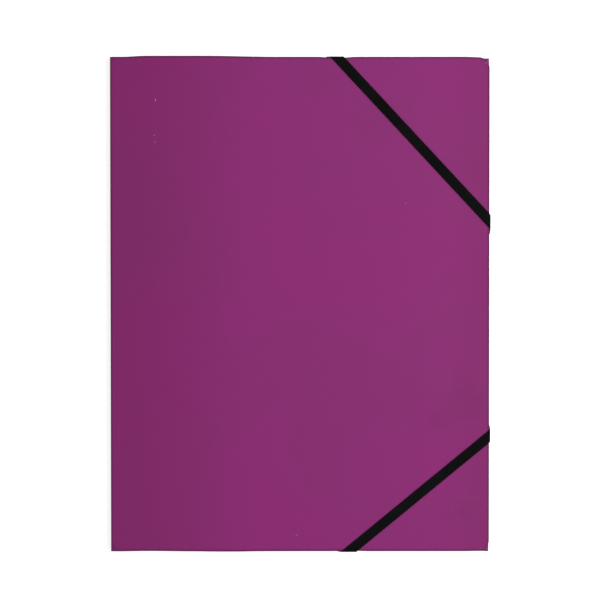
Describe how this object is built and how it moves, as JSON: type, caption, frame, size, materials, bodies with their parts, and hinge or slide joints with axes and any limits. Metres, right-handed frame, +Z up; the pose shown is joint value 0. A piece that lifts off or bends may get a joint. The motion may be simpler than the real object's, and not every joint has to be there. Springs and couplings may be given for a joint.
{
  "type": "three flap folder",
  "caption": "Flat folder for A4 sheets, folded from one purple plastic sheet with flaps inside, kept shut by flat black elastic bands across its fore-edge corners.",
  "frame": {"origin": "middle of the folder on the surface it lies on, under the middle of its box", "axes": "+X from the spine to the fore-edge, +Y along the spine to the head of the cover, +Z up out of the front cover"},
  "size_m": [0.246, 0.3218, 0.0063],
  "materials": {
    "folder_sheet": "purple polypropylene sheet, satin",
    "elastic_band": "black flat woven elastic",
    "rivet": "nickel-plated tubular rivet"
  },
  "bodies": {
    "root": {"folder_sheet": "folder_sheet", "elastic_band_head": "elastic_band", "elastic_band_foot": "elastic_band", "rivet_head": "rivet", "rivet_fore_edge_head": "rivet", "rivet_foot": "rivet", "rivet_fore_edge_foot": "rivet"}
  },
  "joints": []
}
